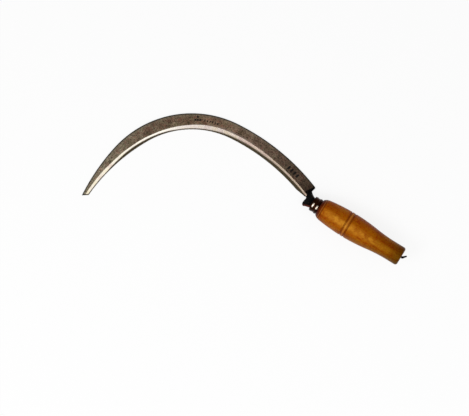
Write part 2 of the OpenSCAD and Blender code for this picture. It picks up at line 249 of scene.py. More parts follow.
# The frame tells where the sickle's own origin lies: the ferrule is round about y = 0, and the
# blade's back reaches furthest forward where it heads square to the handle, near its tip.
FORWARD = max(walk(HEEL_CORNER, HEADING, BACK_ARCS, d)[0][0]
              for d in np.arange(0.6, 1, 0.002) * BACK_LEN)
COLLAR_LOW, COLLAR_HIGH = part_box("ferrule")
MIDDLE = np.array([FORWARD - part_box("blade")[1][0] / MM,
                   -(COLLAR_LOW[1] + COLLAR_HIGH[1]) / 2 / MM, 0.0])


def in_row(points):
    """Working frame in millimetres to the sickle's own frame in metres."""
    return (np.asarray(points, float) - MIDDLE) * MM


def stations(step):
    """Distances along the back and the edge, and share of the taper, from heel to tip."""
    rows, start = [], (0.0, 0.0)
    for end, tapered in ((HEEL_MARK, 0), (TAPER_MARK, 0), ((BACK_LEN, EDGE_LEN), 1)):
        count = max(2, round((end[1] - start[1]) / step))
        share = np.arange(count) / count
        rows.append(np.stack([start[0] + (end[0] - start[0]) * share,
                              start[1] + (end[1] - start[1]) * share, share * tapered], axis=1))
        start = end
    return np.vstack(rows + [[[BACK_LEN, EDGE_LEN, 1.0]]])


def groove_height(along, inset):
    """Height of the tooth grooves cut up into the flat side, at a distance in from the edge."""
    slant = math.radians(TOOTH_SLANT)
    width = TOOTH_PITCH * math.cos(slant) - TOOTH_LAND
    crest = TOOTH_DEPTH * (1 - inset / math.cos(slant) / TOOTH_BAND)
    count = math.floor((EDGE_LEN - TIP_PLAIN - HEEL_PLAIN) / TOOTH_PITCH)
    place = (along - inset * math.tan(slant) - HEEL_PLAIN) / TOOTH_PITCH
    height = np.zeros_like(place)
    for k in (np.floor(place), np.floor(place) + 1):
        aside = (place - k) * TOOTH_PITCH * math.cos(slant)
        run = np.where(aside < 0, width * TOOTH_STEEP, width * (1 - TOOTH_STEEP))
        rise = crest - TOOTH_DEPTH * np.abs(aside) / run
        height = np.maximum(height, np.where((k >= 0) & (k <= count), rise, 0))
    return np.maximum(height, 0)


# Plain punched marks: (distance along the back, distance in from it, half length, half width, turn)
STAMP_DEEP = 0.22
HEEL_STAMPS = [(27.4 + 5.2 * k, 8.2, 2.9, 1.35, 78) for k in range(4)]
CROWN_STAMPS = ([(185.0, 4.3, 1.5, 1.2, 90)]
                + [(181.4 + 3.4 * k, 8.3, 1.4, 1.2, 0) for k in range(3)])
CROWN_ROW = [(174.8 - 3.7 * k, 8.4 + 0.2 * k, 1.4, 0.75, 84) for k in range(6)]


def stamp_depth(along, across):
    """1 at the bottom of a punched mark, falling to 0 at its rim."""
    depth = np.zeros_like(along)
    for s, u, half_len, half_wid, turn in HEEL_STAMPS + CROWN_STAMPS + CROWN_ROW:
        c, r = math.cos(math.radians(turn)), math.sin(math.radians(turn))
        x, y = (along - s) * c + (across - u) * r, -(along - s) * r + (across - u) * c
        reach = np.sqrt((x / half_len) ** 2 + (y / half_wid) ** 2)
        depth = np.maximum(depth, smooth((1.3 - reach) / 0.45))
    return depth


def make_blade(skins):
    """The forged plate with its round back, ground bevel, saw-cut teeth and punched marks."""
    rows = stations(0.25)
    back = np.array([walk(HEEL_CORNER, HEADING, BACK_ARCS, d)[0] for d in rows[:, 0]])
    edge = np.array([walk(EDGE_START, EDGE_HEADING, EDGE_ARCS, d)[0] for d in rows[:, 1]])
    across = edge - back
    width = np.linalg.norm(across, axis=1)
    across /= width[:, None]
    along = rows[:, 1]
    thick = BLADE_T + (TIP_T - BLADE_T) * rows[:, 2]
    bevel = eased(np.interp(along, BEVEL_AT, BEVEL_W), 20)
    # a small wave from the grinder's hand
    bevel += 0.12 * np.sin(along / 7.3) * np.sin(along / 17.9 + 1)

    # The gullets between the teeth and the clipped heel corner set the real edge back. A gullet is
    # open where it would leave next to no steel.
    deepest, thinnest, skin = 1.2, 0.03, 0.02
    probe = np.linspace(0, deepest, 49)
    top = EDGE_T + (thick - EDGE_T)[:, None] * probe[None, :] / bevel[:, None]
    open_there = groove_height(along[:, None], probe[None, :]) > top - thinnest
    innermost = len(probe) - 1 - np.argmax(open_there[:, ::-1], axis=1)
    setback = np.where(open_there.any(1), probe[innermost], 0)
    ground_off = HEEL_CLIP * (1 - along / HEEL_RUN) + along ** 2 / 2 / HEEL_EDGE_R
    setback = np.maximum(setback, np.where(along < 1.3 * HEEL_RUN, ground_off, 0))

    # Columns of points run round the section: distance in from the back, height, and what they are
    # part of. They crowd towards the teeth.
    columns = []
    low_steps, top_steps, face_steps, bevel_steps, teeth_steps, flat_steps = 6, 8, 26, 14, 12, 6
    for k in range(low_steps):
        a = math.pi / 2 * k / low_steps
        columns.append((LOW_ROUND * (1 - math.sin(a)), LOW_ROUND * (1 - math.cos(a)), "back"))
    for k in range(top_steps + 1):
        a = math.pi / 2 * k / top_steps
        drop = TOP_ROUND * (1 - math.sin(a))
        columns.append((TOP_ROUND * (1 - math.cos(a)), thick - drop, "back"))
    shoulder = width - bevel
    for k in range(1, face_steps + 1):
        columns.append((TOP_ROUND + (shoulder - TOP_ROUND) * k / face_steps, thick, "face"))
    for k in range(1, bevel_steps + 1):
        inset = bevel + (setback - bevel) * (1 - (1 - k / bevel_steps) ** 1.5)
        columns.append((width - inset, EDGE_T + (thick - EDGE_T) * inset / bevel, "bevel"))
    for k in range(teeth_steps + 1):
        inset = setback + (TOOTH_BAND - setback) * (k / teeth_steps) ** 1.3
        top = EDGE_T + (thick - EDGE_T) * inset / bevel
        cut = np.minimum(groove_height(along, inset), top - skin)
        columns.append((width - inset, cut, "teeth"))
    flat = width - TOOTH_BAND
    for k in range(1, flat_steps):
        columns.append((flat + (LOW_ROUND - flat) * k / flat_steps, 0, "under"))

    u = np.stack([c[0] + 0 * width for c in columns], axis=1)
    z = np.stack([c[1] + 0 * width for c in columns], axis=1)
    kinds = [c[2] for c in columns]
    mark = np.zeros_like(u)
    face = [i for i, k in enumerate(kinds) if k == "face"]
    mark[:, face] = stamp_depth(rows[:, :1] + 0 * u[:, face], u[:, face])
    z = z - STAMP_DEEP * mark
    points = back[:, None, :] + u[..., None] * across[:, None, :]
    points = np.concatenate([points, z[..., None]], axis=2).reshape(-1, 3)
    count, around = len(rows), len(columns)
    faces = loop_faces(count, around)
    last = (count - 1) * around
    faces += [tuple(range(around)), tuple(range(last + around - 1, last - 1, -1))]

    # Values for the finishes, all from distances along and across the steel. A painted shade
    # darkens the round back, the heel's back corner and the last 2 mm of the tip.
    far = (rows[:, :1] + 0 * u).ravel()
    inset = (width[:, None] - u).ravel()
    depth_in = np.maximum(u, 0).ravel()
    strip, soft = np.interp(far, STRIP_AT, STRIP_W), np.interp(far, SOFT_AT, SOFT_W)
    tip_end_shade = smooth((far - BACK_LEN + 2.4) / 1.2)
    heel_corner_shade = smooth((3.4 - far - 0.35 * depth_in) / 1.4)
    rounded = np.where(np.array([k == "back" for k in kinds])[None, :] | (u < 0), 1.0, 0).ravel()
    rim = np.maximum(rounded, smooth((2.3 - depth_in) / 1.6))
    values = {"along": far, "inset": inset, "stamp": mark.ravel(),
              "spine": smooth((5.5 - depth_in) / 4) * np.interp(far, [60, 120], [0, 1]),
              "dark_edge": np.maximum(smooth(0.5 + (strip - inset) / soft), tip_end_shade),
              "halo": smooth((10.5 - inset) / 4) * np.exp(-((far - 128) / 34) ** 2),
              "rim": np.maximum(rim, np.maximum(tip_end_shade, heel_corner_shade))}
    blade = dress("serrated_blade", ["blade"], in_row(points), faces, skins, values,
                  sharp=13)
    skin_of = {"back": 0, "face": 0, "bevel": 1, "teeth": 1, "under": 0}
    part = [skin_of[kinds[(j + 1) % around]] for j in range(around)]
    blade.data.polygons.foreach_set("material_index", part * (count - 1) + [0, 0])
    return blade


# Turned pieces
def spread(around):
    """Angles of the spokes of a turned piece."""
    return 2 * np.pi * (np.arange(around) + 0.5) / around


def square_ring(half, spokes):
    """Radii of a square hole, one on each spoke of the turning."""
    return half / np.maximum(np.abs(np.cos(spokes)), np.abs(np.sin(spokes)))


def bar_half(s):
    """Half the thickness of the square tang at a distance behind the ferrule's front."""
    return (TANG_ROOT + (TANG_END - TANG_ROOT) * s / BUTT_S) / 2


def turn(rings, around):
    """Rings about the handle's axis, each a distance behind the ferrule's front and its radii."""
    across, up = np.cos(spread(around)), np.sin(spread(around))
    points = [np.stack([np.full(around, -s), radius * across, radius * up], axis=1)
              for s, radius in rings]
    return np.vstack(points), loop_faces(len(rings), around, closed=True)


def turned_by(points):
    """Angle round the handle's axis from its upper side, in degrees, towards the blade's inside."""
    return np.degrees(np.arctan2(points[:, 1], points[:, 2]))


def make_ferrule(skins):
    """The pressed collar: two rolled beads, a square hole in front and a cup for the spigot."""
    around = 160
    spokes = spread(around)
    s = np.linspace(0.35, FERRULE_LEN - 0.25, 61)
    body = np.full_like(s, FERRULE_R)
    beads = ((BEAD_FROM_END, FRONT_BEAD_R), (FERRULE_LEN - BEAD_FROM_END, REAR_BEAD_R))
    for middle, radius in beads:
        swell = np.sqrt(np.maximum(BEAD_ROUND ** 2 - (s - middle) ** 2, 0))
        body = np.maximum(body, radius - BEAD_ROUND + swell)
    # the press rounds the front rim and leaves small fillets beside each bead
    rings = [(0.0, FERRULE_R - 0.8), (0.06, FERRULE_R - 0.35), (0.16, FERRULE_R - 0.12)]
    rings += list(zip(s, eased(body, 2)))
    rings += [(FERRULE_LEN - 0.1, FERRULE_R - 0.06), (FERRULE_LEN, FERRULE_R - 0.25),
              (FERRULE_LEN, SPIGOT_R + 0.1), (FERRULE_LEN - 0.3, SPIGOT_R),
              (FERRULE_WALL, SPIGOT_R),
              (FERRULE_WALL, square_ring(bar_half(FERRULE_WALL) + TANG_GAP, spokes)),
              (0.0, square_ring(bar_half(0) + TANG_GAP, spokes)), (0.0, FERRULE_R - 2.5)]
    points, faces = turn(rings, around)
    radii = np.hypot(points[:, 1], points[:, 2])
    # painted highlight on the beads' upper side, weaker on the rear bead
    rubbed = 0.1 + 0.9 * smooth((25 - np.abs(turned_by(points) - 13)) / 16)
    rubbed = rubbed * np.where(points[:, 0] < -FERRULE_LEN / 2, 0.57, 1.0)
    values = {"lathe": points, "crest": smooth((radii - FERRULE_R) / 0.55) * rubbed}
    return dress("beaded_ferrule", ["ferrule"], in_row(on_handle(points)),
                 faces, skins, values, sharp=35)


def groove_cut(u, middle, radius, lift):
    """Depth of a round-bottomed groove whose centre lies just outside the wood."""
    inside = radius ** 2 - (u - middle) ** 2
    return np.where(inside > 0, np.sqrt(np.maximum(inside, 0)) - lift, 0).clip(0)


def make_handle(skins):
    """The turned wood, from the spigot under the ferrule to the butt, with its burned-in socket."""
    around = 192
    spokes = spread(around)
    u = np.unique(np.concatenate(
        [np.linspace(0.3, HANDLE_LEN - BUTT_ROUND, 150)]
        + [np.linspace(m - 1.6 * r, m + 1.6 * r, 21) for m, r in GROOVES]))
    radius = body_radius(u)
    for middle, size in GROOVES:
        radius = radius - groove_cut(u, middle, size, size / 4)
    rings = [(FERRULE_WALL, SPIGOT_R - 0.4), (FERRULE_WALL + 0.4, SPIGOT_R),
             (FERRULE_LEN, SPIGOT_R), (FERRULE_LEN, NOSE_R - 0.35),
             (FERRULE_LEN + 0.12, NOSE_R - 0.05)]
    rings += [(FERRULE_LEN + a, b) for a, b in zip(u, radius)]
    rim = float(body_radius(np.array(HANDLE_LEN - BUTT_ROUND)))
    for k in range(1, 13):
        a = math.pi / 2 * k / 12
        inward, behind = 1 - math.cos(a), 1 - math.sin(a)
        rings.append((BUTT_S - BUTT_ROUND * behind, rim - BUTT_ROUND * inward))
    hole = square_ring(TANG_END / 2 + TANG_GAP, spokes)
    for share in (0.3, 0.6, 0.85):
        rings.append((BUTT_S, (rim - BUTT_ROUND) * (1 - share) + (hole + 0.25) * share))
    rings += [(BUTT_S, hole + 0.25), (BUTT_S - 0.3, hole)]
    socket = np.linspace(BUTT_S - 3, FERRULE_WALL, 8)
    rings += [(s, square_ring(bar_half(s) + TANG_GAP, spokes)) for s in socket]
    points, faces = turn(rings, around)

    # Values for the finish. Varnish pools in the turned lines and in the socket.
    behind = -points[:, 0] - FERRULE_LEN
    cut = np.zeros(len(points))
    for middle, size in GROOVES:
        cut = np.maximum(cut, smooth(2.0 - np.abs(behind - middle) / size))
    cut[(len(rings) - len(socket) - 2) * around:] = 1
    # painted highlight: the bead between the pair of lines, and the lip ahead of the fine one
    bead = np.maximum(smooth(1.3 - np.abs(behind - PAIR_AT) / 1.5),
                      smooth(1.3 - np.abs(behind - FINE_AT + 1.3) / 0.7))
    # painted highlight along the upper side, and painted shade on the inner side of the curve
    aside = turned_by(points) - 9
    upper_highlight = smooth((27 - np.abs(aside)) / 24)
    upper_highlight = upper_highlight * np.interp(behind, [0, 8, 80, 110], [0.5, 1.0, 0.9, 0.3])
    inner_side_shade = smooth((aside - 22) / 24) * np.interp(behind, [30, 50], [0.5, 1])
    values = {"lathe": points, "groove": cut, "bead": bead, "upper_highlight": upper_highlight, "inner_side_shade": inner_side_shade}
    return dress("turned_handle", ["handle"], in_row(on_handle(points)),
                 faces, skins, values, sharp=40)


# The forged tang
def outline_prism(outline, low, high, axes):
    """Closed block: an outline drawn on two axes, pushed from low to high along the third."""
    count = len(outline)
    points = np.zeros((2 * count, 3))
    for end, level in enumerate((low, high)):
        rows = slice(end * count, (end + 1) * count)
        points[rows, axes[0]], points[rows, axes[1]] = np.array(outline, float).T
        points[rows, 3 - axes[0] - axes[1]] = level
    faces = [tuple(range(count))[::-1], tuple(range(count, 2 * count))]
    faces += [(j, (j + 1) % count, count + (j + 1) % count, count + j) for j in range(count)]
    return points, faces


def block(name, points, faces):
    """A scratch object in metres with its faces turned outward."""
    mesh = bpy.data.meshes.new(name)
    mesh.from_pydata([tuple(p) for p in points], [], faces)
    work = bmesh.new()
    work.from_mesh(mesh)
    bmesh.ops.recalc_face_normals(work, faces=work.faces)
    work.to_mesh(mesh)
    work.free()
    made = bpy.data.objects.new(name, mesh)
    bpy.context.scene.collection.objects.link(made)
    return made


def applied(obj):
    """The mesh that an object's modifiers give."""
    bpy.context.view_layer.update()
    return bpy.data.meshes.new_from_object(obj.evaluated_get(bpy.context.evaluated_depsgraph_get()))


def discard(*objects):
    for obj in objects:
        bpy.data.objects.remove(obj, do_unlink=True)


def neck_outlines():
    """The neck seen from above, from the side and from the front."""
    heel_end = (EDGE_START - HEEL_CORNER) / np.linalg.norm(EDGE_START - HEEL_CORNER)
    outward = np.array([heel_end[1], -heel_end[0]])

    def heel_point(inward, out):
        return HEEL_CORNER + inward * heel_end + out * outward

    foot_len, foot_back, lap_outer, lap_inner, shoulder_len = 13.8, 1.2, 1.2, 4.9, 3.0
    inner = heel_point(foot_len, 0)
    # round the foot, up the shoulder, round the blunt spur and back to the collar
    plan = [(-1, -NECK_W / 2), (2.2, -NECK_W / 2 - 1.1), (HEEL_CORNER[0] - 1.9, -NECK_W / 2 - 3.4),
            heel_point(foot_len / 2, -foot_back), heel_point(0.5, -foot_back),
            heel_point(0.5, lap_outer), heel_point(foot_len, lap_inner), inner,
            heel_point(foot_len + shoulder_len, 0), (inner[0] - 0.6, inner[1] / 5),
            (inner[0] + 0.1, SPUR_REACH / 3 - 1.5), (inner[0] + 0.6, SPUR_REACH - 4.5),
            (inner[0] + 0.4, SPUR_REACH - 2.4), (inner[0] - 0.4, SPUR_REACH - 1),
            (inner[0] - 1.3, SPUR_REACH - 0.3), (inner[0] - 2.3, SPUR_REACH),
            (inner[0] / 2, 8.1), (-1, NECK_W / 2)]
    foot_top = BLADE_T + FOOT_T
    foot_end = heel_point(foot_len, lap_inner)[0]
    t = np.linspace(0, 1, 33)
    top, low = AXIS_Z + NECK_H / 2, AXIS_Z - NECK_H / 2
    upper = np.stack([foot_end * (1 - t) + 1, foot_top + (top - foot_top) * smooth(t)], 1)
    lower = np.stack([(HEEL_CORNER[0] - foot_back) * t, low * (1 - smooth(t))], 1)
    side = [*upper, (-2, top), (-2, low), *lower, (foot_end + 1, 0)]
    spur_z = (foot_top + low) / 2
    front = [(HEEL_CORNER[1] - 1, 0), (HEEL_CORNER[1] - 1, foot_top), (-NECK_W / 2 - 5, foot_top),
             (-NECK_W / 2, top - 0.6), (-NECK_W / 2 + 0.8, top), (NECK_W / 2 - 0.8, top),
             (NECK_W / 2, top - 0.6), (SPUR_REACH, spur_z + 2), (SPUR_REACH, spur_z - 2),
             (NECK_W / 4, 0)]
    return plan, side, front, heel_end, outward


def bar_and_tail():
    """Square bar through the handle, drawn down to a point and bent over behind the butt."""
    lead = TAIL_ROUND * math.tan(TAIL_BEND / 2)
    straight = BUTT_S + TANG_END / 2 - lead
    rows = [((-s, 0.0), 0.0, bar_half(s)) for s in np.linspace(-1, straight, 40)]
    start = np.array(rows[-1][0])
    for k in range(1, 9):
        a = TAIL_BEND * k / 8
        place = start + TAIL_ROUND * np.array([-math.sin(a), math.cos(a) - 1])
        rows.append((place, a, TANG_END / 2))
    elbow = np.array(rows[-1][0])
    for t in np.linspace(0, 1, 8)[1:]:
        place = elbow - (TAIL_LEN - lead) * t * np.array([math.cos(TAIL_BEND), math.sin(TAIL_BEND)])
        rows.append((place, TAIL_BEND, (TANG_END + (TAIL_POINT - TANG_END) * t) / 2))
    points = []
    for (x, y), a, half in rows:
        side = np.array([math.sin(a), -math.cos(a)]) * half
        for p, q in ((-1, -1), (1, -1), (1, 1), (-1, 1)):
            points.append((x + p * side[0], y + p * side[1], q * half))
    last = tuple(range(4 * len(rows) - 4, 4 * len(rows)))
    return on_handle(points), loop_faces(len(rows), 4) + [(3, 2, 1, 0), last]


def make_tang(skins):
    """Foot, cranked neck and spur forged in one with the bar; hammer-rounded edges."""
    plan, side, front, heel_end, outward = neck_outlines()
    points, faces = outline_prism(plan, -1, 22, (0, 1))
    neck = block("neck", in_row(points), faces)
    cutters = []
    views = (("side", side, -40, 40, (0, 2)), ("front", front, -3, 24, (1, 2)))
    for name, outline, low, high, axes in views:
        points, faces = outline_prism(outline, low, high, axes)
        cutters.append((block(name, in_row(points), faces), "INTERSECT"))
    corners = ((-20, 0), (40, 0), (40, 40), (-20, 40))
    seat = [HEEL_CORNER + a * heel_end + b * outward for a, b in corners]
    points, faces = outline_prism(seat, -2, BLADE_T, (0, 1))
    cutters.append((block("seat", in_row(points), faces), "DIFFERENCE"))
    points, faces = outline_prism([(-20, -20), (0, -20), (0, 20), (-20, 20)], -20, 20, (0, 1))
    cutters.append((block("behind", in_row(on_handle(points)), faces), "DIFFERENCE"))
    for cutter, how in cutters:
        step = neck.modifiers.new(how, "BOOLEAN")
        step.operation, step.object, step.solver = how, cutter, "EXACT"
    cut = applied(neck)
    discard(neck, *[c for c, _ in cutters])

    points, faces = bar_and_tail()
    bar = block("bar", in_row(points), faces)
    work = bmesh.new()
    work.from_mesh(cut)
    work.from_mesh(bar.data)
    both = bpy.data.meshes.new("tang_parts")
    work.to_mesh(both)
    work.free()
    discard(bar)
    tang = bpy.data.objects.new("cranked_tang", both)
    bpy.context.scene.collection.objects.link(tang)
    weld = tang.modifiers.new("weld", "REMESH")
    weld.mode, weld.use_smooth_shade = "VOXEL", True
    weld.voxel_size = 0.38 * MM
    ease = tang.modifiers.new("ease", "SMOOTH")
    ease.factor, ease.iterations = 0.5, 5
    tang.data = applied(tang)
    tang.modifiers.clear()
    # hammer facets; the foot stays on the ground
    facet_size, facet_depth = 4, 0.05
    for v in tang.data.vertices:
        v.co += v.normal * (facet_depth * MM * noise.noise(v.co / (facet_size * MM)))
        v.co.z = max(v.co.z, 0)
    # the fingers rub the spur's rear edge down to brown, most of all beside the collar
    spur, root = np.array(plan[-3]), np.array(plan[-1])
    spots = np.array([v.co for v in tang.data.vertices])[:, :2] / MM + MIDDLE[:2]
    rear = root - spur
    share = np.clip((spots - spur) @ rear / (rear @ rear), 0, 1)
    gap = np.linalg.norm(spots - spur - share[:, None] * rear, axis=1)
    handled = smooth(1.6 - gap / 2.1) * (0.45 + 0.55 * share)
    layer = tang.data.attributes.new("handled", "FLOAT", "POINT")
    layer.data.foreach_set("value", handled.astype(np.float32))
    return settle(tang, ["tang"], skins, 40)


# Finishes
# Patterns are drawn on coordinates in millimetres, so that a scale is one over the size of a mark.
# The steel's shades change over the length from heel to tip, and so does the bevel's painted
# reflection.
SHADED_LEN = 340.0


def forged_plate_steel():
    """Carbon steel strip, hot forged and quenched in oil. The thin oxide looks dull and brown-grey,
    with clouds, short rolling streaks along the blade, small freckles and temper tints. It is
    darkest at the heel and in the punched marks, and a painted shade darkens the round back, the
    heel's back corner and the tip's end."""
    made, tree, shader = material("forged_plate_steel", {"Metallic": 0.35,
                                                         "Specular IOR Level": 0.2})
    spot = add(tree, "VectorMath", {"operation": "SCALE", "Scale": 1 / MM},
               {0: add(tree, "TexCoord").outputs["Object"]})
    along = add(tree, "Attribute", {"attribute_name": "along"}).outputs["Fac"]
    inset = add(tree, "Attribute", {"attribute_name": "inset"}).outputs["Fac"]
    stamp = add(tree, "Attribute", {"attribute_name": "stamp"}).outputs["Fac"]
    rim = add(tree, "Attribute", {"attribute_name": "rim"}).outputs["Fac"]
    # oxide from heel to tip
    reach = add(tree, "MapRange", {"From Max": SHADED_LEN}, {"Value": along})
    oxide = add(tree, "ValToRGB", {"stops": [(0.0, "#584636"), (0.3, "#988472"), (0.5, "#9e876e"),
                                             (0.75, "#93836e"), (1.0, "#b4aa94")]}, {"Fac": reach})
    # clouds of 9 mm
    clouds = add(tree, "TexNoise", {"Scale": 1 / 9, "Detail": 3.0}, {"Vector": spot})
    cloud = add(tree, "ValToRGB", {"stops": [(0.32, "#a8988c"), (0.68, "#ffffff")]},
                {"Fac": clouds})
    colour = add(tree, "Mix", {**TIMES, 0: 0.75}, {6: oxide, 7: cloud})
    # rolling streaks, 12 mm long and under a millimetre wide
    plan = add(tree, "CombineXYZ", {}, {"X": along, "Y": inset})
    drawn = add(tree, "Mapping", {"Scale": (1 / 12, 1 / 0.8, 1.0)}, {"Vector": plan})
    streaks = add(tree, "TexNoise", {"Scale": 1.0, "Detail": 3.0}, {"Vector": drawn})
    streak = add(tree, "ValToRGB", {"stops": [(0.35, "#c3b7ab"), (0.65, "#ffffff")]},
                 {"Fac": streaks})
    colour = add(tree, "Mix", {**TIMES, 0: 0.7}, {6: colour, 7: streak})
    # freckles of oxide, 1.4 mm
    freckles = add(tree, "TexNoise", {"Scale": 1 / 1.4, "Detail": 5.0, "Roughness": 0.62},
                   {"Vector": spot})
    freckle = add(tree, "ValToRGB", {"stops": [(0.36, "#54473c"), (0.55, "#ffffff")]},
                  {"Fac": freckles})
    colour = add(tree, "Mix", {**TIMES, 0: 0.9}, {6: colour, 7: freckle})
    # temper tints, warm and olive, in patches of 4 mm
    elsewhere = add(tree, "VectorMath", {"operation": "ADD", 1: (40, 0, 0)}, {0: spot})
    tempers = add(tree, "TexNoise", {"Scale": 1 / 4, "Detail": 5.0, "Roughness": 0.65},
                  {"Vector": elsewhere})
    temper = add(tree, "ValToRGB", {"stops": [(0.36, "#f0c4be"), (0.5, "#ffffff"),
                                              (0.64, "#d6dfc4")]}, {"Fac": tempers})
    colour = add(tree, "Mix", {**TIMES, 0: 0.8}, {6: colour, 7: temper})
    # a greener skin of scale stays along the back
    spine = add(tree, "Attribute", {"attribute_name": "spine"}).outputs["Fac"]
    skin = add(tree, "Math", {"operation": "MULTIPLY", 1: 0.22}, {0: spine})
    colour = add(tree, "Mix", {**OVER, 7: "#848270"}, {0: skin, 6: colour})
    # the grinding wheel greyed the face above the bevel ahead of the crown
    halo = add(tree, "Attribute", {"attribute_name": "halo"}).outputs["Fac"]
    grazed = add(tree, "Math", {"operation": "MULTIPLY"}, {0: halo, 1: clouds})
    colour = add(tree, "Mix", {**OVER, 7: "#978c84"}, {0: grazed, 6: colour})
    # painted shade along the round back, on the heel's back corner and at the tip's end
    colour = add(tree, "Mix", {**OVER, 7: "#2d2a20"}, {0: rim, 6: colour})
    colour = add(tree, "Mix", {**OVER, 7: "#0d0805"}, {0: stamp, 6: colour})
    dull = add(tree, "MapRange", {"From Min": 0.3, "From Max": 0.7, "To Min": 0.66, "To Max": 0.48},
               {"Value": freckles})
    # hammer waves of 5 mm under the grain
    waves = add(tree, "TexNoise", {"Scale": 1 / 5, "Detail": 2.0}, {"Vector": spot})
    wavy = add(tree, "Bump", {"Distance": 0.08 * MM}, {"Height": waves})
    grain = add(tree, "Bump", {"Distance": 0.03 * MM}, {"Height": freckles, "Normal": wavy})
    feed(tree, shader, Base_Color=colour, Roughness=dull, Normal=grain)
    return made


def ground_edge_steel():
    """The same steel ground bright on a wet wheel: wheel lines across the bevel and a faint warm
    tint in places. A painted reflection makes the bevel dull at the heel and bright from the crown
    to the tip. Oil and forge scale stay dark along the teeth, widest towards the heel."""
    made, tree, shader = material("ground_edge_steel", {"Specular IOR Level": 0.15})
    spot = add(tree, "VectorMath", {"operation": "SCALE", "Scale": 1 / MM},
               {0: add(tree, "TexCoord").outputs["Object"]})
    along = add(tree, "Attribute", {"attribute_name": "along"}).outputs["Fac"]
    inset = add(tree, "Attribute", {"attribute_name": "inset"}).outputs["Fac"]
    scaled = add(tree, "Attribute", {"attribute_name": "dark_edge"}).outputs["Fac"]
    plan = add(tree, "CombineXYZ", {}, {"X": along, "Y": inset})
    # wheel lines 0.4 mm apart, a little coarser than the real grit so that they show
    slant = add(tree, "Mapping", {"Rotation": (0, 0, 0.16), "Scale": (1 / 0.4, 1 / 14, 1.0)},
                {"Vector": plan})
    lines = add(tree, "TexNoise", {"Scale": 1.0, "Detail": 3.0}, {"Vector": slant})
    # painted reflection: the bevel is duller at the heel and brighter from the crown to the tip
    reach = add(tree, "MapRange", {"From Max": SHADED_LEN}, {"Value": along})
    bright = add(tree, "ValToRGB", {"stops": [(0.0, "#8a7d70"), (0.2, "#988a7e"), (0.29, "#b3a498"),
                                              (0.5, "#c0b8b1"), (0.6, "#c6beb8"), (0.7, "#d7d4cb"),
                                              (1.0, "#cfc9ba")]}, {"Fac": reach})
    # tints in patches of 11 mm
    tints = add(tree, "TexNoise", {"Scale": 1 / 11, "Detail": 2.0}, {"Vector": spot})
    tint = add(tree, "ValToRGB", {"stops": [(0.35, "#e2cfd2"), (0.5, "#ffffff"),
                                            (0.65, "#f6efd8")]}, {"Fac": tints})
    bright = add(tree, "Mix", {**TIMES, 0: 0.6}, {6: bright, 7: tint})
    grit = add(tree, "ValToRGB", {"stops": [(0.3, "#ece8e4"), (0.6, "#ffffff")]}, {"Fac": lines})
    bright = add(tree, "Mix", {**TIMES, 0: 0.8}, {6: bright, 7: grit})
    # specks of scale, 1.2 mm
    specks = add(tree, "TexNoise", {"Scale": 1 / 1.2, "Detail": 4.0}, {"Vector": spot})
    scale = add(tree, "ValToRGB", {"stops": [(0.3, "#2a2316"), (0.7, "#4e422b")]}, {"Fac": specks})
    colour = add(tree, "Mix", OVER, {0: scaled, 6: bright, 7: scale})
    metal = add(tree, "MapRange", {"To Min": 1.0, "To Max": 0.3}, {"Value": scaled})
    gloss = add(tree, "MapRange", {"From Min": 0.3, "From Max": 0.7, "To Min": 0.3, "To Max": 0.42},
                {"Value": lines})
    dull = add(tree, "Mix", {3: 0.6}, {0: scaled, 2: gloss})
    cut = add(tree, "Bump", {"Distance": 0.006 * MM}, {"Height": lines})
    feed(tree, shader, Base_Color=colour, Metallic=metal, Roughness=dull, Normal=cut)
    return made


def black_lacquered_iron():
    """Hammered iron dipped in black lacquer: deep black, faintly purple, half matt over shallow
    hammer facets, and rubbed to brown on the edges that stand out and where fingers touch it."""
    made, tree, shader = material("black_lacquered_iron", {"IOR": 1.45, "Specular IOR Level": 0.05})
    spot = add(tree, "VectorMath", {"operation": "SCALE", "Scale": 1 / MM},
               {0: add(tree, "TexCoord").outputs["Object"]})
    # patches of 2.5 mm
    patches = add(tree, "TexNoise", {"Scale": 1 / 2.5, "Detail": 4.0}, {"Vector": spot})
    lacquer = add(tree, "ValToRGB", {"stops": [(0.3, "#020101"), (0.7, "#060405")]},
                  {"Fac": patches})
    edges = add(tree, "NewGeometry").outputs["Pointiness"]
    raised = add(tree, "Math", {"operation": "MULTIPLY_ADD", 1: 0.03}, {0: patches, 2: edges})
    worn = add(tree, "MapRange", {"From Min": 0.545, "From Max": 0.62, "To Max": 0.6},
               {"Value": raised})
    colour = add(tree, "Mix", {**OVER, 7: "#4a3126"}, {0: worn, 6: lacquer})
    handled = add(tree, "Attribute", {"attribute_name": "handled"}).outputs["Fac"]
    colour = add(tree, "Mix", {**OVER, 7: "#6a3024"}, {0: handled, 6: colour})
    gloss = add(tree, "MapRange", {"From Min": 0.3, "From Max": 0.7, "To Min": 0.45, "To Max": 0.6},
                {"Value": patches})
    # pits of 1.1 mm
    pits = add(tree, "TexNoise", {"Scale": 1 / 1.1, "Detail": 3.0}, {"Vector": spot})
    skin = add(tree, "Bump", {"Distance": 0.05 * MM}, {"Height": pits})
    feed(tree, shader, Base_Color=colour, Roughness=gloss, Normal=skin)
    return made


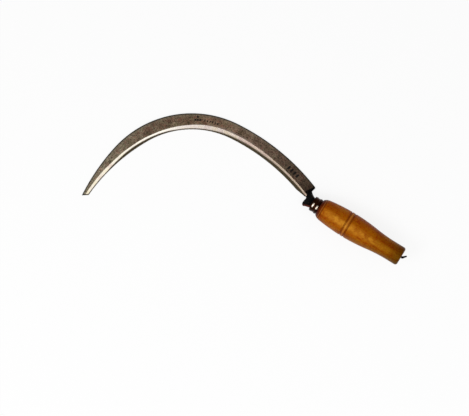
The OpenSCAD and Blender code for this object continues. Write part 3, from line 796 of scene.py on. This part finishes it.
def painted_reflection_collar_steel():
    """Spun steel tube with two rolled beads. Its dark warm brown body is a painted dark reflection,
    and a painted highlight of bright steel lies on the beads' upper side; fine lines run around it."""
    made, tree, shader = material("painted_reflection_collar_steel", {"Metallic": 1.0})
    lathe = add(tree, "Attribute", {"attribute_name": "lathe"}).outputs["Vector"]
    # crest: the bead crests inside the painted highlight's window
    crest = add(tree, "Attribute", {"attribute_name": "crest"}).outputs["Fac"]
    # spinning lines 0.25 mm apart around the collar
    around = add(tree, "Mapping", {"Scale": (1 / 0.25, 1 / 9, 1 / 9)}, {"Vector": lathe})
    lines = add(tree, "TexNoise", {"Scale": 1.0, "Detail": 2.0}, {"Vector": around})
    # the painted highlight is ragged, in patches of 3 mm, and the painted dark reflection varies in
    # the same patches
    patches = add(tree, "TexNoise", {"Scale": 1 / 3, "Detail": 4.0}, {"Vector": lathe})
    rubbed = add(tree, "Math", {"operation": "MULTIPLY_ADD", 1: 0.7, 2: -0.35}, {0: patches})
    rubbed = add(tree, "Math", {"operation": "ADD"}, {0: crest, 1: rubbed})
    highlight_share = add(tree, "MapRange", {"From Min": 0.35, "From Max": 0.75}, {"Value": rubbed})
    # painted dark reflection on the body, bright steel for the painted highlight
    brown = add(tree, "ValToRGB", {"stops": [(0.3, "#1e0c06"), (0.7, "#3a1c0e")]}, {"Fac": patches})
    steel = add(tree, "ValToRGB", {"stops": [(0.3, "#cdbda8"), (0.7, "#eee2d2")]}, {"Fac": lines})
    colour = add(tree, "Mix", OVER, {0: highlight_share, 6: brown, 7: steel})
    gloss = add(tree, "MapRange", {"From Min": 0.3, "From Max": 0.7, "To Min": 0.2, "To Max": 0.34},
                {"Value": lines})
    spun = add(tree, "Bump", {"Distance": 0.012 * MM}, {"Height": lines})
    feed(tree, shader, Base_Color=colour, Roughness=gloss, Normal=spun)
    return made


def varnished_hardwood():
    """Ash-like hardwood, turned and dipped in amber varnish. Growth rings show as long bands, pores
    as short dark dashes along the grain. The varnish is darker in the turned lines. Painted shade
    darkens the wood beside the collar and on the inner side, and the wood turns darker and greener
    towards the butt. A painted highlight runs golden along the upper side and on the raised bead
    and lip, and the varnish leaves a soft warm gloss."""
    made, tree, shader = material("varnished_hardwood", {"IOR": 1.5, "Specular IOR Level": 0.12,
                                                         "Specular Tint": srgb("#ffb850")})
    lathe = add(tree, "Attribute", {"attribute_name": "lathe"}).outputs["Vector"]
    groove = add(tree, "Attribute", {"attribute_name": "groove"}).outputs["Fac"]
    bead = add(tree, "Attribute", {"attribute_name": "bead"}).outputs["Fac"]
    upper_highlight = add(tree, "Attribute", {"attribute_name": "upper_highlight"}).outputs["Fac"]
    # the pith lies 30 mm off the axis, and the tree grew with a slight sway over 50 mm
    bent = add(tree, "Mapping", {"Scale": (1 / 50, 1 / 12, 1 / 12)}, {"Vector": lathe})
    sway = add(tree, "TexNoise", {"Scale": 1.0, "Detail": 2.0}, {"Vector": bent})
    off_pith = add(tree, "Mapping", {"Location": (0, 26, 15), "Scale": (0.06, 1, 1)},
                   {"Vector": lathe})
    swung = add(tree, "VectorMath", {"operation": "MULTIPLY_ADD", 1: (4, 6, 6)},
                {0: sway.outputs["Color"], 2: off_pith})
    # growth rings 2.4 mm wide: a ring texture of scale 1 has a ring every pi / 10 units
    rings = add(tree, "TexWave", {"wave_type": "RINGS", "rings_direction": "X",
                                  "Scale": math.pi / 10 / 2.4, "Distortion": 1.6, "Detail": 2.0,
                                  "Detail Scale": 0.6}, {"Vector": swung})
    colour = add(tree, "ValToRGB", {"stops": [(0.0, "#a86006"), (0.45, "#af6808"),
                                              (0.85, "#aa6206"), (1.0, "#9e5604")]}, {"Fac": rings})
    # streaks of figure, 28 mm long and 9 mm wide
    patches = add(tree, "Mapping", {"Scale": (1 / 28, 1 / 9, 1 / 9)}, {"Vector": lathe})
    figure = add(tree, "TexNoise", {"Scale": 1.0, "Detail": 3.0}, {"Vector": patches})
    shade = add(tree, "ValToRGB", {"stops": [(0.35, "#d8a878"), (0.5, "#f0e2c8"),
                                             (0.65, "#ffffff")]}, {"Fac": figure})
    colour = add(tree, "Mix", {**TIMES, 0: 0.8}, {6: colour, 7: shade})
    # mottled figure, 2.5 mm, redder and yellower by turns
    flecks = add(tree, "TexNoise", {"Scale": 1 / 2.5, "Detail": 3.0, "Roughness": 0.6},
                 {"Vector": lathe})
    fleck = add(tree, "ValToRGB", {"stops": [(0.36, "#e0a078"), (0.5, "#f8ecd8"),
                                             (0.62, "#f0f2c0")]}, {"Fac": flecks})
    colour = add(tree, "Mix", {**TIMES, 0: 0.9}, {6: colour, 7: fleck})
    # painted highlight, golden, along the upper side, in ragged patches of 7 mm
    ragged = add(tree, "TexNoise", {"Scale": 1 / 7, "Detail": 4.0, "Roughness": 0.6},
                 {"Vector": lathe})
    worn = add(tree, "MapRange", {"From Min": 0.3, "From Max": 0.62}, {"Value": ragged})
    worn = add(tree, "Math", {"operation": "MULTIPLY"}, {0: worn, 1: upper_highlight})
    colour = add(tree, "Mix", {**OVER, 7: "#c88424"}, {0: worn, 6: colour})
    # varnish from the collar to the butt, with painted shade on the nose beside the collar; darker
    # and greener towards the butt
    forward = add(tree, "SeparateXYZ", {}, {0: lathe}).outputs["X"]
    ends = add(tree, "MapRange", {"From Min": -FERRULE_LEN, "From Max": -BUTT_S},
               {"Value": forward})
    varnish = add(tree, "ValToRGB", {"stops": [(0.0, "#6e3c22"), (0.035, "#b07850"),
                                               (0.055, "#f0e0c8"), (0.2, "#ffffff"),
                                               (0.55, "#f6f2e6"), (0.85, "#dae8b4"),
                                               (1.0, "#8c9e64")]}, {"Fac": ends})
    colour = add(tree, "Mix", {**TIMES, 0: 1.0}, {6: colour, 7: varnish})
    # painted shade, greener and darker, on the inner side
    inner_side_shade = add(tree, "Attribute", {"attribute_name": "inner_side_shade"}).outputs["Fac"]
    colour = add(tree, "Mix", {**TIMES, 7: "#e4fbd8"}, {0: inner_side_shade, 6: colour})
    # pores 0.4 mm wide and 6 mm long
    drawn = add(tree, "Mapping", {"Scale": (1 / 6, 1 / 0.4, 1 / 0.4)}, {"Vector": lathe})
    pores = add(tree, "TexNoise", {"Scale": 1.0, "Detail": 2.0}, {"Vector": drawn})
    pore = add(tree, "MapRange", {"From Min": 0.6, "From Max": 0.72, "To Max": 0.5},
               {"Value": pores})
    colour = add(tree, "Mix", {**OVER, 7: "#5a2c05"}, {0: pore, 6: colour})
    # painted highlight on the bead and the lip, and varnish pools in the turned lines
    lit = add(tree, "Math", {"operation": "MULTIPLY", 1: 0.22}, {0: bead})
    colour = add(tree, "Mix", {**OVER, 7: "#dc9c48"}, {0: lit, 6: colour})
    pooled = add(tree, "Math", {"operation": "MULTIPLY", 1: 0.55}, {0: groove})
    colour = add(tree, "Mix", {**OVER, 7: "#6a2c04"}, {0: pooled, 6: colour})
    gloss = add(tree, "MapRange", {"From Min": 0.35, "From Max": 0.65, "To Min": 0.34,
                                   "To Max": 0.44}, {"Value": figure})
    sunk = add(tree, "Bump", {"Distance": 0.03 * MM, "invert": True}, {"Height": pore})
    feed(tree, shader, Base_Color=colour, Roughness=gloss, Normal=sunk)
    return made


# The sickle
steel, bevel_steel = forged_plate_steel(), ground_edge_steel()
make_blade([steel, bevel_steel])
make_tang([black_lacquered_iron()])
make_ferrule([painted_reflection_collar_steel()])
make_handle([varnished_hardwood()])

# Floor, light and camera
# Directions of the photo in the sickle's frame: its right and its up.
RIGHT, UP = Vector((-0.8533, -0.5214, 0)), Vector((0.5214, -0.8533, 0))
CENTRE = Vector(in_row((82.85, 58.1, 0.0)))


def white_floor():
    """Matt white paper that keeps the sickle's shadow. Camera, glossy and transmission rays see it
    near pure white."""
    made, tree, shader = material("white_paper", {"Base Color": srgb("#f4f4f4"), "Roughness": 0.9})
    rays = add(tree, "LightPath").outputs
    larger = {"operation": "MAXIMUM"}
    seen = add(tree, "Math", larger, {0: rays["Is Camera Ray"], 1: rays["Is Glossy Ray"]})
    seen = add(tree, "Math", larger, {0: seen, 1: rays["Is Transmission Ray"]})
    share = add(tree, "Math", {"operation": "MULTIPLY", 1: 0.85}, {0: seen})
    glow = add(tree, "Emission", {"Color": "#ffffff", "Strength": 1.0})
    both = add(tree, "MixShader", {}, {0: share, 1: shader, 2: glow})
    tree.links.new(both.outputs[0], tree.nodes["Material Output"].inputs["Surface"])
    half = 4
    corners = [(-half, -half, 0), (half, -half, 0), (half, half, 0), (-half, half, 0)]
    mesh = bpy.data.meshes.new("floor")
    mesh.from_pydata(corners, [], [(0, 1, 2, 3)])
    mesh.materials.append(made)
    floor = bpy.data.objects.new("floor", mesh)
    bpy.context.scene.collection.objects.link(floor)


def lamp(name, right, up, height, size, watts):
    """Soft square white lamp, placed in the photo's directions and aimed at the sickle's middle."""
    light = bpy.data.lights.new(name, "AREA")
    light.size, light.energy = size, watts
    made = bpy.data.objects.new(name, light)
    made.location = CENTRE + RIGHT * right + UP * up + Vector((0, 0, height))
    made.rotation_euler = (CENTRE - made.location).to_track_quat("-Z", "Y").to_euler()
    bpy.context.scene.collection.objects.link(made)


white_floor()
lamp("window", right=-0.85, up=-0.35, height=1.25, size=0.7, watts=8)
lamp("panel", right=0.55, up=-0.95, height=1.35, size=1.6, watts=13)

world = bpy.data.worlds.new("room")
world.use_nodes = True
room_light = world.node_tree.nodes["Background"].inputs
room_light["Color"].default_value = srgb("#ffffff")
room_light["Strength"].default_value = 0.45
bpy.context.scene.world = world

# The photo looks straight down; its 469 pixels span about 610 mm.
CAMERA_HEIGHT, FRAME_WIDTH, SENSOR = 2.2, 0.6111, 36
camera_data = bpy.data.cameras.new("camera")
camera_data.sensor_width = SENSOR
camera_data.lens = SENSOR * CAMERA_HEIGHT / FRAME_WIDTH
camera = bpy.data.objects.new("camera", camera_data)
camera.matrix_world = Matrix(((RIGHT.x, UP.x, 0, CENTRE.x), (RIGHT.y, UP.y, 0, CENTRE.y),
                              (0, 0, 1, CAMERA_HEIGHT), (0, 0, 0, 1)))
bpy.context.scene.collection.objects.link(camera)
bpy.context.scene.camera = camera
bpy.context.scene.view_settings.view_transform = "Standard"
